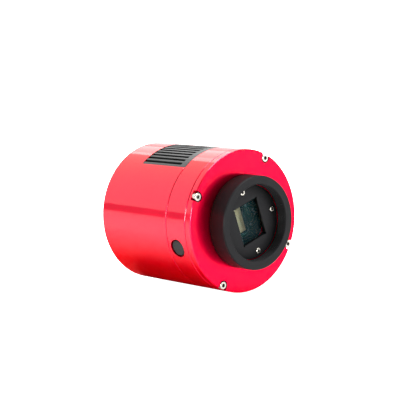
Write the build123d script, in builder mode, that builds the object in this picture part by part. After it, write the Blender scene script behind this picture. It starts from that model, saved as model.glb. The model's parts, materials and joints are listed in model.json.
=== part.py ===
"""Cooled astronomy camera, as an assembly of separate pieces.

Y runs down the optical axis, from the front face of the threaded nose ring (Y = 0) to the back.
X is to the right as seen from the front and Z is up, towards the upper air vent.
Everything is in millimetres. Each sketch that is square to the axis is drawn as seen from the front.
"""

import os
from math import cos, radians, sin

from build123d import *

os.makedirs("parts", exist_ok=True)

# ---------------------------------------------------------------- driving dimensions
BODY_R = 39.0  # outside radius of the red body
TOTAL_LENGTH = 86.0
NOSE_LENGTH = 11.0  # the nose ring stands this far off the front plate
NOSE_R = 25.4
THREAD_R = 20.6  # crest radius of the M42 x 0.75 thread in the nose ring
COLLAR_R = 20.95  # crest radius of the matching thread on the front plate's collar
COLLAR_FRONT = 6.5  # depth of the front plate's threaded collar
PLATE_REAR = 15.25  # seam between front plate and chamber housing
HOUSING_REAR = 30.6  # seam between chamber housing and rear shell
SENSOR_PLANE = 17.5  # back-focus distance from the nose ring's front face
CHAMBER_R = 27.0  # inside radius of the dry sensor chamber
SHELL_WALL = 2.1
FIT = 0.05  # radial clearance of turned fits
SHANK_FIT = 0.03  # radial clearance of a screw in its tapped hole, which has no modelled thread
CLEARANCE = 0.1  # radial clearance of a screw in a plain hole
SEAM_CHAMFER = 0.2
SEAM_GAP = 0.18  # each side of a seam stands back this far outside the land where the faces touch
SEAM_LAND_R = BODY_R - 1.2
EDGE_CHAMFER = 0.5

# front-plate fasteners: M2.5 socket-head cap screws in pockets open to the rim
PLATE_SCREW_CIRCLE_R = 36.8
M25_HEAD_R = 2.1
M25_HEAD_H = 2.5
M25_SHANK_R = 1.25
M25_SOCKET = 2.0
POCKET_R = 2.75
PLATE_SCREW_TIP = 23.0
PLATE_SCREW_HOLE_END = 23.5
SINK_SCREW_TIP = 25.0
SINK_SCREW_HOLE_END = 24.5

# window clamp and its M1.6 screws
CLAMP_R = 20.2
CLAMP_THICKNESS = 2.0
APERTURE_X = 17.2
APERTURE_Z = 21.4
CORNER_RELIEF_R = 0.55
CLAMP_SCREW_CIRCLE_R = 17.2
M16_HEAD_R = 1.5
M16_HEAD_H = 1.6
M16_SHANK_R = 0.8
M16_SOCKET = 1.5
M16_TIP = 12.0
M16_HEAD_CLEARANCE = 0.3
HEAD_CHAMFER = 0.15  # of every socket-head screw

# window
GLASS_R = 16.1
GLASS_THICKNESS = 2.0

# image sensor and its board
DIE_X = 9.4
DIE_Z = 16.2
DIE_THICKNESS = 0.4
PACKAGE_X = 14.0
PACKAGE_Z = 21.0
PACKAGE_WALL = 1.5
PACKAGE_RIM_HEIGHT = 0.9
COVER_GLASS_THICKNESS = 0.5
COVER_GLASS_INSET = 0.3
BOARD_R = 23.5
BOARD_FRONT = SENSOR_PLANE + 2.0
BOARD_THICKNESS = 1.6

# cooling stack
TEC_SIZE = 20.0
TEC_CERAMIC = 0.7
TEC_LEDGE = 1.2  # the hot plate stands out this far for the leads
PELLET_SIZE = 1.3
PELLET_HEIGHT = 1.6
PELLET_PITCH = 2.5
PELLETS_PER_SIDE = 8
FINGER_X = 8.6
FINGER_Z = 6.6
FINGER_CLEARANCE = 0.3
FLANGE_THICKNESS = 1.4
PAD_THICKNESS = 0.3

# heat sink and its fins, which fill the two vent windows of the rear shell
SINK_R = BODY_R - SHELL_WALL - FIT
VENT_R = BODY_R - 0.05
BAND_REAR = 35.2  # the plain band in front of the fins
VENT_REAR = 66.5
VENT_HALF_WIDTH = 13.9
FIN_PITCH = 2.86
FIN_THICKNESS = 1.26
FIN_REAR = VENT_REAR - 0.2

# desiccant port on the housing's side
PORT_Y = 23.5
PORT_Z = 0.8
PORT_RECESS_R = 5.1
PORT_FLOOR = 36.4
PLUG_HEAD_R = 4.4
PLUG_TOP = 38.6
PLUG_HEAD_THICKNESS = 1.3
PLUG_SHANK_R = 3.4
PLUG_SHANK_END = 32.4
CARTRIDGE_TOP = 31.8
CARTRIDGE_LENGTH = 7.2
CARTRIDGE_R = 3.2

# rear cover, fan and ports
COVER_FRONT = 83.3
COVER_REAR = 85.8
FAN_Z = 5.0
FAN_FRAME_R = 24.0
FAN_BORE_R = 22.0
FAN_DEPTH = 10.0
FAN_LUG_R = 25.6
BLADE_COUNT = 7
PORT_BOARD_FRONT = 70.4
PORT_BOARD_REAR = 72.0
USB3_X = 12.1
USB3_Z = 11.0
USB3_CENTRE = (0.0, -27.9)
USB2_X = 5.9
USB2_Z = 13.2
USB2_CENTRES = {"left": (-11.5, -26.4), "right": (11.5, -26.4)}
JACK_CENTRE = (-27.0, -8.0)
JACK_R = 4.4
JACK_BORE_R = 3.2
JACK_PIN_R = 1.05


def on_circle(radius, *degrees_list):
    """Points at these angles on a circle about the axis, 0 along +X and 90 along +Z."""
    return [(radius * cos(radians(a)), radius * sin(radians(a))) for a in degrees_list]


PLATE_SCREWS = on_circle(PLATE_SCREW_CIRCLE_R, 45, 135, 225, 315)
CLAMP_SCREWS = on_circle(CLAMP_SCREW_CIRCLE_R, 0, 90, 180, 270)
BOARD_SCREWS = on_circle(20.5, 60, 120, 240, 300)
SINK_SCREWS = on_circle(33.0, 20, 160, 200, 340)
TIE_BOLTS = on_circle(33.2, 38, 142, 218, 322)
FAN_LUGS = [(x, z + FAN_Z) for x, z in on_circle(FAN_LUG_R, 45, 135, 225, 315)]
PORT_STANDOFFS = [(-20.5, -26.5), (20.5, -26.5), (29.5, -4.0)]
FAN_CENTRE = (0.0, FAN_Z)


# ---------------------------------------------------------------- helpers
def plane_at(depth):
    """The plane square to the axis at this depth. Its normal points to the front."""
    return Plane.XZ.offset(-depth)


def turned(*outline, mode=Mode.ADD):
    """Revolves a closed outline of (radius, depth) points about the axis."""
    with BuildSketch(Plane.XY) as profile:
        with BuildLine():
            Polyline(*outline, close=True)
        make_face()
    revolve(profile.sketch, axis=Axis.Y, mode=mode)


def discs(points, radius, front, rear, mode=Mode.ADD):
    """Round pillars or holes along the axis, from depth front to depth rear."""
    with BuildSketch(plane_at(rear)) as profile:
        with Locations(*points):
            Circle(radius)
    extrude(profile.sketch, amount=rear - front, mode=mode)


def block(centre, size_x, size_z, front, rear, mode=Mode.ADD):
    """A block along the axis, from depth front to depth rear."""
    with BuildSketch(plane_at(rear)) as profile:
        with Locations(centre):
            Rectangle(size_x, size_z)
    extrude(profile.sketch, amount=rear - front, mode=mode)


def cap_screws(points, top, under, tip, head_r, shank_r, socket):
    """Socket-head screws: heads from depth top to depth under, shanks on from there to depth tip."""
    discs(points, head_r, min(top, under), max(top, under))
    head_edges = edges().filter_by(GeomType.CIRCLE)
    chamfer(head_edges.filter_by(lambda e: abs(e.center().Y - top) < 1e-3), length=HEAD_CHAMFER)
    discs(points, shank_r, min(under, tip), max(under, tip))
    depth = abs(under - top) / 2
    floor = top + depth if under > top else top
    with BuildSketch(plane_at(floor)) as hexes:
        with Locations(*points):
            RegularPolygon(socket / 2, 6, major_radius=False)
    extrude(hexes.sketch, amount=depth, mode=Mode.SUBTRACT)


def o_ring(major, minor, depth):
    """An O-ring about the axis."""
    with BuildPart() as ring:
        with BuildSketch(Plane.XY):
            with Locations((major, depth)):
                Circle(minor)
        revolve(axis=Axis.Y)
    return ring.part


def save(part, name):
    """Labels a finished piece and writes its file."""
    part.label = name
    export_step(part, f"parts/{name}.step")


# ---------------------------------------------------------------- nose ring
# Its front thread takes the telescope's M42 adapter. Its rear bore is the part of the same
# thread that is screwed onto the front plate's collar, so it is as wide as the thread's root.
THREAD_RELIEF = 0.3
THREAD_END = COLLAR_FRONT - THREAD_RELIEF
NOSE_REAR = NOSE_LENGTH - FIT
with BuildPart() as nose_ring:
    turned(
        (THREAD_R, 0.0),
        (NOSE_R - EDGE_CHAMFER, 0.0),
        (NOSE_R, EDGE_CHAMFER),
        (NOSE_R, NOSE_REAR - SEAM_CHAMFER),
        (NOSE_R - SEAM_CHAMFER, NOSE_REAR),
        (COLLAR_R + FIT, NOSE_REAR),
        (COLLAR_R + FIT, THREAD_END),
        (THREAD_R, THREAD_END),
    )
save(nose_ring.part, "nose_ring")

# ---------------------------------------------------------------- front plate
CLAMP_REAR = COLLAR_FRONT + CLAMP_THICKNESS
GLASS_REAR = CLAMP_REAR + GLASS_THICKNESS
LEDGE_REAR = 12.5
WINDOW_SEAL_R = 15.55
WINDOW_SEAL_MINOR = 0.4
SEAL_FLOOR = GLASS_REAR + 2 * WINDOW_SEAL_MINOR
LEDGE_R = 14.9
with BuildPart() as front_plate:
    turned(
        (CLAMP_R + FIT, COLLAR_FRONT),
        (COLLAR_R, COLLAR_FRONT),
        (COLLAR_R, NOSE_LENGTH),
        (BODY_R - EDGE_CHAMFER, NOSE_LENGTH),
        (BODY_R, NOSE_LENGTH + EDGE_CHAMFER),
        (BODY_R, PLATE_REAR - SEAM_GAP - SEAM_CHAMFER),
        (BODY_R - SEAM_CHAMFER, PLATE_REAR - SEAM_GAP),
        (SEAM_LAND_R, PLATE_REAR - SEAM_GAP),
        (SEAM_LAND_R, PLATE_REAR),
        (CHAMBER_R, PLATE_REAR),
        (CHAMBER_R, LEDGE_REAR),
        (LEDGE_R, LEDGE_REAR),
        (LEDGE_R, SEAL_FLOOR),
        (GLASS_R + FIT, SEAL_FLOOR),
        (GLASS_R + FIT, CLAMP_REAR),
        (CLAMP_R + FIT, CLAMP_REAR),
    )
    # pockets for the cap screws, open to the rim
    with BuildSketch(plane_at(NOSE_LENGTH + M25_HEAD_H)):
        with Locations(*PLATE_SCREWS):
            Circle(POCKET_R)
        with PolarLocations(PLATE_SCREW_CIRCLE_R + POCKET_R, 4, start_angle=45):
            Rectangle(2 * POCKET_R, 2 * POCKET_R)
    extrude(amount=M25_HEAD_H, mode=Mode.SUBTRACT)
    discs(PLATE_SCREWS, M25_SHANK_R + CLEARANCE, NOSE_LENGTH, PLATE_REAR, Mode.SUBTRACT)
    discs(CLAMP_SCREWS, M16_SHANK_R + SHANK_FIT, CLAMP_REAR, LEDGE_REAR, Mode.SUBTRACT)
save(front_plate.part, "front_plate")

with BuildPart() as front_plate_screws:
    cap_screws(
        PLATE_SCREWS,
        NOSE_LENGTH,
        NOSE_LENGTH + M25_HEAD_H,
        PLATE_SCREW_TIP,
        M25_HEAD_R,
        M25_SHANK_R,
        M25_SOCKET,
    )
save(front_plate_screws.part, "front_plate_screws")

# ---------------------------------------------------------------- window and its clamp
M16_TOP = COLLAR_FRONT - 0.4  # the heads stand this far off the clamp
CORNER_RELIEF_INSET = 0.2
with BuildPart() as window_clamp:
    discs([(0, 0)], CLAMP_R, COLLAR_FRONT, CLAMP_REAR)
    with BuildSketch(plane_at(CLAMP_REAR)):
        Rectangle(APERTURE_X, APERTURE_Z)
        relief_x = APERTURE_X - 2 * CORNER_RELIEF_INSET
        relief_z = APERTURE_Z - 2 * CORNER_RELIEF_INSET
        with GridLocations(relief_x, relief_z, 2, 2):
            Circle(CORNER_RELIEF_R)
    extrude(amount=CLAMP_THICKNESS, mode=Mode.SUBTRACT)
    discs(CLAMP_SCREWS, M16_SHANK_R + FIT, COLLAR_FRONT, CLAMP_REAR, Mode.SUBTRACT)
    counterbore_r = M16_HEAD_R + M16_HEAD_CLEARANCE
    discs(CLAMP_SCREWS, counterbore_r, COLLAR_FRONT, M16_TOP + M16_HEAD_H, Mode.SUBTRACT)
save(window_clamp.part, "window_clamp")

with BuildPart() as clamp_screws:
    cap_screws(
        CLAMP_SCREWS, M16_TOP, M16_TOP + M16_HEAD_H, M16_TIP, M16_HEAD_R, M16_SHANK_R, M16_SOCKET
    )
save(clamp_screws.part, "clamp_screws")

GLASS_CHAMFER = 0.2
with BuildPart() as window_glass:
    discs([(0, 0)], GLASS_R, CLAMP_REAR, GLASS_REAR)
    chamfer(window_glass.edges().filter_by(GeomType.CIRCLE), length=GLASS_CHAMFER)
save(window_glass.part, "window_glass")

save(o_ring(WINDOW_SEAL_R, WINDOW_SEAL_MINOR, GLASS_REAR + WINDOW_SEAL_MINOR), "window_seal")

HEATER_THICKNESS = 0.25
HEATER_R = 19.5
HEATER_BORE_R = 15.2
HEATER_TAB = (5.2, 4.0)
with BuildPart() as window_heater:
    turned(
        (HEATER_BORE_R, LEDGE_REAR),
        (HEATER_R, LEDGE_REAR),
        (HEATER_R, LEDGE_REAR + HEATER_THICKNESS),
        (HEATER_BORE_R, LEDGE_REAR + HEATER_THICKNESS),
    )
    tab_x = HEATER_R + HEATER_TAB[0] / 2 - HEATER_THICKNESS / 2
    block((tab_x, 0.0), *HEATER_TAB, LEDGE_REAR, LEDGE_REAR + HEATER_THICKNESS)
save(window_heater.part, "window_heater")

# ---------------------------------------------------------------- chamber housing
SEAL_MAJOR = 30.2
SEAL_MINOR = 0.75
SEAL_GROOVE = SEAL_MINOR + CLEARANCE
PORT_BORE_END = 20.0  # the port's bore runs in to here, inside the chamber
with BuildPart() as chamber_housing:
    turned(
        (CHAMBER_R, PLATE_REAR),
        (SEAL_MAJOR - SEAL_GROOVE, PLATE_REAR),
        (SEAL_MAJOR - SEAL_GROOVE, PLATE_REAR + 2 * SEAL_MINOR),
        (SEAL_MAJOR + SEAL_GROOVE, PLATE_REAR + 2 * SEAL_MINOR),
        (SEAL_MAJOR + SEAL_GROOVE, PLATE_REAR),
        (SEAM_LAND_R, PLATE_REAR),
        (SEAM_LAND_R, PLATE_REAR + SEAM_GAP),
        (BODY_R - SEAM_CHAMFER, PLATE_REAR + SEAM_GAP),
        (BODY_R, PLATE_REAR + SEAM_GAP + SEAM_CHAMFER),
        (BODY_R, HOUSING_REAR - SEAM_GAP - SEAM_CHAMFER),
        (BODY_R - SEAM_CHAMFER, HOUSING_REAR - SEAM_GAP),
        (SEAM_LAND_R, HOUSING_REAR - SEAM_GAP),
        (SEAM_LAND_R, HOUSING_REAR),
        (SEAL_MAJOR + SEAL_GROOVE, HOUSING_REAR),
        (SEAL_MAJOR + SEAL_GROOVE, HOUSING_REAR - 2 * SEAL_MINOR),
        (SEAL_MAJOR - SEAL_GROOVE, HOUSING_REAR - 2 * SEAL_MINOR),
        (SEAL_MAJOR - SEAL_GROOVE, HOUSING_REAR),
        (CHAMBER_R, HOUSING_REAR),
    )
    tapped_r = M25_SHANK_R + SHANK_FIT
    discs(PLATE_SCREWS, tapped_r, PLATE_REAR, PLATE_SCREW_HOLE_END, Mode.SUBTRACT)
    discs(SINK_SCREWS, tapped_r, SINK_SCREW_HOLE_END, HOUSING_REAR, Mode.SUBTRACT)
    # the desiccant port: a recess for the plug's head and a threaded bore into the chamber
    with BuildSketch(Plane.YZ.offset(-BODY_R)):
        with Locations((PORT_Y, PORT_Z)):
            Circle(PORT_RECESS_R)
    extrude(amount=BODY_R - PORT_FLOOR, mode=Mode.SUBTRACT)
    with BuildSketch(Plane.YZ.offset(-BODY_R)):
        with Locations((PORT_Y, PORT_Z)):
            Circle(PLUG_SHANK_R + FIT)
    extrude(amount=BODY_R - PORT_BORE_END, mode=Mode.SUBTRACT)
save(chamber_housing.part, "chamber_housing")

save(o_ring(SEAL_MAJOR, SEAL_MINOR, PLATE_REAR + SEAL_MINOR), "front_seal")
save(o_ring(SEAL_MAJOR, SEAL_MINOR, HOUSING_REAR - SEAL_MINOR), "rear_seal")

# ---------------------------------------------------------------- desiccant port's own pieces
PLUG_UNDER = PLUG_TOP - PLUG_HEAD_THICKNESS
PLUG_CHAMFER = 0.4
with BuildPart() as desiccant_plug:
    with BuildSketch(Plane.YZ.offset(-PLUG_TOP)):
        with Locations((PORT_Y, PORT_Z)):
            Circle(PLUG_HEAD_R)
    extrude(amount=PLUG_HEAD_THICKNESS)
    outer = desiccant_plug.edges().filter_by(GeomType.CIRCLE).sort_by(Axis.X)[0]
    chamfer(outer, length=PLUG_CHAMFER)
    with BuildSketch(Plane.YZ.offset(-PLUG_UNDER)):
        with Locations((PORT_Y, PORT_Z)):
            Circle(PLUG_SHANK_R)
    extrude(amount=PLUG_UNDER - PLUG_SHANK_END)
save(desiccant_plug.part, "desiccant_plug")

PLUG_SEAL_SPACE = (PLUG_UNDER - PORT_FLOOR) / 2
PLUG_SEAL_SLACK = 0.02
with BuildPart() as plug_seal:
    seal_x = -(PLUG_UNDER + PORT_FLOOR) / 2
    seal_y = PORT_Y + PLUG_SHANK_R + CLEARANCE + PLUG_SEAL_SPACE
    with BuildSketch(Plane.XY.offset(PORT_Z)):
        with Locations((seal_x, seal_y)):
            Circle(PLUG_SEAL_SPACE - PLUG_SEAL_SLACK)
    revolve(axis=Axis((0, PORT_Y, PORT_Z), (1, 0, 0)))
save(plug_seal.part, "plug_seal")

with BuildPart() as desiccant_cartridge:
    with BuildSketch(Plane.YZ.offset(-CARTRIDGE_TOP)):
        with Locations((PORT_Y, PORT_Z)):
            Circle(CARTRIDGE_R)
    extrude(amount=CARTRIDGE_LENGTH)
    fillet(desiccant_cartridge.edges().filter_by(GeomType.CIRCLE), radius=CARTRIDGE_R / 4)
save(desiccant_cartridge.part, "desiccant_cartridge")

# ---------------------------------------------------------------- image sensor
with BuildPart() as sensor_die:
    block((0, 0), DIE_X, DIE_Z, SENSOR_PLANE, SENSOR_PLANE + DIE_THICKNESS)
save(sensor_die.part, "sensor_die")

PACKAGE_RIM_FRONT = SENSOR_PLANE - PACKAGE_RIM_HEIGHT
DIE_REAR = SENSOR_PLANE + DIE_THICKNESS
with BuildPart() as sensor_package:
    cavity_x = PACKAGE_X - 2 * PACKAGE_WALL
    cavity_z = PACKAGE_Z - 2 * PACKAGE_WALL
    block((0, 0), PACKAGE_X, PACKAGE_Z, PACKAGE_RIM_FRONT, BOARD_FRONT)
    block((0, 0), cavity_x, cavity_z, PACKAGE_RIM_FRONT, DIE_REAR, Mode.SUBTRACT)
save(sensor_package.part, "sensor_package")

with BuildPart() as sensor_cover_glass:
    cover_x = PACKAGE_X - 2 * COVER_GLASS_INSET
    cover_z = PACKAGE_Z - 2 * COVER_GLASS_INSET
    cover_front = PACKAGE_RIM_FRONT - COVER_GLASS_THICKNESS
    block((0, 0), cover_x, cover_z, cover_front, PACKAGE_RIM_FRONT)
save(sensor_cover_glass.part, "sensor_cover_glass")

# ---------------------------------------------------------------- sensor board
BOARD_REAR = BOARD_FRONT + BOARD_THICKNESS
M2_HEAD_R = 1.6
M2_HEAD_H = 1.4
M2_SHANK_R = 0.95
M2_SOCKET = 1.3
with BuildPart() as sensor_board:
    window_x = FINGER_X + 2 * FINGER_CLEARANCE
    window_z = FINGER_Z + 2 * FINGER_CLEARANCE
    discs([(0, 0)], BOARD_R, BOARD_FRONT, BOARD_REAR)
    block((0, 0), window_x, window_z, BOARD_FRONT, BOARD_REAR, Mode.SUBTRACT)
    discs(BOARD_SCREWS, M2_SHANK_R + CLEARANCE, BOARD_FRONT, BOARD_REAR, Mode.SUBTRACT)
save(sensor_board.part, "sensor_board")

# capacitors in a row beside the sensor and in pairs round it, and three larger chips
CAPACITOR = (0.7, 1.3, 0.5)  # x, z, height
CAPACITOR_PLACES = [(10.5, 6.0), (10.5, 3.8), (10.5, -7.5), (-10.5, 6.0), (-10.5, -6.0)]
CAPACITOR_PLACES += [(5.5, 13.5), (-5.5, 13.5)]
RESISTOR = (1.2, 0.7, 0.5)
RESISTOR_START = (14.9, -0.2)
RESISTOR_STEP = (0.1, -1.5)
RESISTOR_COUNT = 3
CHIPS = {(-15.5, 1.5): (4.0, 3.0, 0.9), (0.0, -13.5): (3.0, 3.0, 0.9), (0.0, 13.5): (5.0, 3.0, 0.9)}
BOARD_SOCKET_CENTRE = (14.5, -12.0)
BOARD_SOCKET = (3.0, 7.0, 1.3)
with BuildPart() as sensor_board_parts:
    placed = [(place, CAPACITOR) for place in CAPACITOR_PLACES] + list(CHIPS.items())
    for k in range(RESISTOR_COUNT):
        x, z = (start + k * step for start, step in zip(RESISTOR_START, RESISTOR_STEP))
        placed.append(((x, z), RESISTOR))
    for place, (size_x, size_z, height) in placed:
        block(place, size_x, size_z, BOARD_FRONT - height, BOARD_FRONT)
    socket_x, socket_z, socket_height = BOARD_SOCKET
    block(BOARD_SOCKET_CENTRE, socket_x, socket_z, BOARD_REAR, BOARD_REAR + socket_height)
save(sensor_board_parts.part, "sensor_board_parts")

BOARD_SCREW_TIP = 24.0
with BuildPart() as board_screws:
    head_top = BOARD_FRONT - M2_HEAD_H
    cap_screws(
        BOARD_SCREWS, head_top, BOARD_FRONT, BOARD_SCREW_TIP, M2_HEAD_R, M2_SHANK_R, M2_SOCKET
    )
save(board_screws.part, "board_screws")

SPIGOT_FRONT = 28.4  # front of the heat sink's spigot in the chamber
STANDOFF_HALF_FLATS = 2.0
with BuildPart() as board_standoffs:
    with BuildSketch(plane_at(SPIGOT_FRONT)):
        with Locations(*BOARD_SCREWS):
            RegularPolygon(STANDOFF_HALF_FLATS, 6, major_radius=False)
            Circle(M2_SHANK_R + FIT, mode=Mode.SUBTRACT)
    extrude(amount=SPIGOT_FRONT - BOARD_REAR)
save(board_standoffs.part, "board_standoffs")

# ---------------------------------------------------------------- cooling stack
FLANGE_GAP = 1.5
FLANGE_FRONT = BOARD_REAR + FLANGE_GAP
TEC_FRONT = FLANGE_FRONT + FLANGE_THICKNESS
PELLET_FRONT = TEC_FRONT + TEC_CERAMIC
PELLET_REAR = PELLET_FRONT + PELLET_HEIGHT
TEC_REAR = PELLET_REAR + TEC_CERAMIC
PAD_REAR = TEC_REAR + PAD_THICKNESS
with BuildPart() as cold_finger:
    block((0, 0), FINGER_X, FINGER_Z, BOARD_FRONT, FLANGE_FRONT)
    block((0, 0), TEC_SIZE, TEC_SIZE, FLANGE_FRONT, TEC_FRONT)
save(cold_finger.part, "cold_finger")

with BuildPart() as tec_cold_plate:
    block((0, 0), TEC_SIZE, TEC_SIZE, TEC_FRONT, PELLET_FRONT)
save(tec_cold_plate.part, "tec_cold_plate")

with BuildPart() as tec_pellets:
    with BuildSketch(plane_at(PELLET_REAR)):
        with GridLocations(PELLET_PITCH, PELLET_PITCH, PELLETS_PER_SIDE, PELLETS_PER_SIDE):
            Rectangle(PELLET_SIZE, PELLET_SIZE)
    extrude(amount=PELLET_REAR - PELLET_FRONT)
save(tec_pellets.part, "tec_pellets")

with BuildPart() as tec_hot_plate:
    block((-TEC_LEDGE / 2, 0), TEC_SIZE + TEC_LEDGE, TEC_SIZE, PELLET_REAR, TEC_REAR)
save(tec_hot_plate.part, "tec_hot_plate")

with BuildPart() as thermal_pad:
    block((0, 0), TEC_SIZE, TEC_SIZE, TEC_REAR, PAD_REAR)
save(thermal_pad.part, "thermal_pad")

# ---------------------------------------------------------------- heat sink
CABLE_SLOT_X = 7 * FIN_PITCH
FLEX_Z = -12.0
FLEX_WIDTH = 7.0
LEAD_ZS = {"tec_lead_red": -7.0, "tec_lead_black": -9.4}
LEAD_HOLE_R = 0.7
FLEX_SLOT_X = 1.2
FINS_PER_SIDE = 12
FIN_XS = [(k + 0.5) * FIN_PITCH for k in range(-FINS_PER_SIDE, FINS_PER_SIDE)]
EDGE_FIN_X = 4.5 * FIN_PITCH  # the outermost fin in each vent, which is wider than the others
TIE_BOLT_TIP = 32.0
TIE_BOLT_HOLE_END = 31.6
SINK_PEDESTAL = 22.0
SINK_HEAD_DEPTH = 2.0  # the housing screws' heads are sunk this far
with BuildPart() as sink_outline:
    discs([(0, 0)], VENT_R, HOUSING_REAR, FIN_REAR)
    block((0, 0), 2 * (VENT_HALF_WIDTH - FIT), 2 * BODY_R, HOUSING_REAR, FIN_REAR, Mode.INTERSECT)
    discs([(0, 0)], SINK_R, HOUSING_REAR, FIN_REAR)
    discs([(0, 0)], CHAMBER_R - FIT, SPIGOT_FRONT, HOUSING_REAR)

with BuildPart() as heat_sink:
    discs([(0, 0)], CHAMBER_R - FIT, SPIGOT_FRONT, HOUSING_REAR)
    block((0, 0), SINK_PEDESTAL, SINK_PEDESTAL, PAD_REAR, SPIGOT_FRONT)
    with BuildSketch(plane_at(BAND_REAR)):
        Circle(VENT_R)
        Rectangle(2 * (VENT_HALF_WIDTH - FIT), 2 * BODY_R, mode=Mode.INTERSECT)
        Circle(SINK_R)
    extrude(amount=BAND_REAR - HOUSING_REAR)
    with BuildSketch(plane_at(FIN_REAR)):
        for fin_x in FIN_XS:
            with Locations((fin_x, 0)):
                Rectangle(FIN_THICKNESS, 2 * BODY_R)
        edge_fin = VENT_HALF_WIDTH - FIT - EDGE_FIN_X + FIN_THICKNESS / 2
        for side in (-1, 1):
            with Locations((side * (VENT_HALF_WIDTH - FIT - edge_fin / 2), 0)):
                Rectangle(edge_fin, 2 * BODY_R)
    extrude(amount=FIN_REAR - BAND_REAR)
    add(sink_outline.part, mode=Mode.INTERSECT)
    # bores for the screws into the housing and for the tie bolts
    head_seat = BAND_REAR - SINK_HEAD_DEPTH
    discs(SINK_SCREWS, M25_SHANK_R + CLEARANCE, HOUSING_REAR, BAND_REAR, Mode.SUBTRACT)
    discs(SINK_SCREWS, M25_HEAD_R + 5 * CLEARANCE, head_seat, FIN_REAR, Mode.SUBTRACT)
    discs(TIE_BOLTS, M25_SHANK_R + SHANK_FIT, TIE_BOLT_HOLE_END, BAND_REAR, Mode.SUBTRACT)
    discs(TIE_BOLTS, M25_SHANK_R + 5 * CLEARANCE, BAND_REAR, FIN_REAR, Mode.SUBTRACT)
    # feed-throughs for the flex cable and the two cooler leads
    slot_centre = (CABLE_SLOT_X, FLEX_Z)
    block(slot_centre, FLEX_SLOT_X, FLEX_WIDTH + 1, SPIGOT_FRONT, BAND_REAR, Mode.SUBTRACT)
    lead_points = [(-CABLE_SLOT_X, z) for z in LEAD_ZS.values()]
    discs(lead_points, LEAD_HOLE_R, SPIGOT_FRONT, BAND_REAR, Mode.SUBTRACT)
save(heat_sink.part, "heat_sink")

with BuildPart() as housing_screws:
    cap_screws(
        SINK_SCREWS,
        BAND_REAR - SINK_HEAD_DEPTH + M25_HEAD_H,
        BAND_REAR - SINK_HEAD_DEPTH,
        SINK_SCREW_TIP,
        M25_HEAD_R,
        M25_SHANK_R,
        M25_SOCKET,
    )
save(housing_screws.part, "housing_screws")

# ---------------------------------------------------------------- rear shell
SHELL_R = BODY_R - SHELL_WALL
with BuildPart() as rear_shell:
    turned(
        (SHELL_R, HOUSING_REAR),
        (SEAM_LAND_R, HOUSING_REAR),
        (SEAM_LAND_R, HOUSING_REAR + SEAM_GAP),
        (BODY_R - SEAM_CHAMFER, HOUSING_REAR + SEAM_GAP),
        (BODY_R, HOUSING_REAR + SEAM_GAP + SEAM_CHAMFER),
        (BODY_R, TOTAL_LENGTH - EDGE_CHAMFER),
        (BODY_R - EDGE_CHAMFER, TOTAL_LENGTH),
        (SHELL_R + SEAM_CHAMFER, TOTAL_LENGTH),
        (SHELL_R, TOTAL_LENGTH - SEAM_CHAMFER),
    )
    block((0, 0), 2 * VENT_HALF_WIDTH, 4 * BODY_R, HOUSING_REAR, VENT_REAR, Mode.SUBTRACT)
save(rear_shell.part, "rear_shell")

# ---------------------------------------------------------------- rear cover
GUARD_R = 23.4
GUARD_THICKNESS = 1.4
GUARD_FRONT = COVER_REAR - GUARD_THICKNESS
COVER_CHAMFER = 0.3
PORT_GAP = 0.3  # the cover's windows are this much wider than the sockets
BOLT_SEAT = COVER_REAR - 1.5
LUG_SCREW_SEAT = COVER_REAR - 1.2
LUG_SCREW_HEAD_R = 1.9
LUG_SCREW_SHANK_R = 0.93
with BuildPart() as rear_cover:
    turned(
        (0, COVER_FRONT),
        (SHELL_R - FIT, COVER_FRONT),
        (SHELL_R - FIT, COVER_REAR - COVER_CHAMFER),
        (SHELL_R - FIT - COVER_CHAMFER, COVER_REAR),
        (0, COVER_REAR),
    )
    discs([FAN_CENTRE], FAN_BORE_R, COVER_FRONT, COVER_REAR, Mode.SUBTRACT)
    discs([FAN_CENTRE], GUARD_R + FIT, GUARD_FRONT, COVER_REAR, Mode.SUBTRACT)
    discs(TIE_BOLTS, M25_SHANK_R + CLEARANCE, COVER_FRONT, COVER_REAR, Mode.SUBTRACT)
    discs(TIE_BOLTS, M25_HEAD_R + CLEARANCE, BOLT_SEAT, COVER_REAR, Mode.SUBTRACT)
    discs(FAN_LUGS, LUG_SCREW_SHANK_R + CLEARANCE, COVER_FRONT, COVER_REAR, Mode.SUBTRACT)
    discs(FAN_LUGS, LUG_SCREW_HEAD_R + CLEARANCE, LUG_SCREW_SEAT, COVER_REAR, Mode.SUBTRACT)
    sockets = [(USB3_CENTRE, USB3_X, USB3_Z)]
    sockets += [(centre, USB2_X, USB2_Z) for centre in USB2_CENTRES.values()]
    for centre, size_x, size_z in sockets:
        block(centre, size_x + PORT_GAP, size_z + PORT_GAP, COVER_FRONT, COVER_REAR, Mode.SUBTRACT)
    discs([JACK_CENTRE], JACK_R + CLEARANCE, COVER_FRONT, COVER_REAR, Mode.SUBTRACT)
save(rear_cover.part, "rear_cover")

BOLT_TOP = COVER_REAR + 0.15
with BuildPart() as tie_bolts:
    cap_screws(
        TIE_BOLTS,
        BOLT_TOP,
        BOLT_SEAT,
        TIE_BOLT_TIP,
        M25_HEAD_R,
        M25_SHANK_R,
        M25_SOCKET,
    )
save(tie_bolts.part, "tie_bolts")

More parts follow.
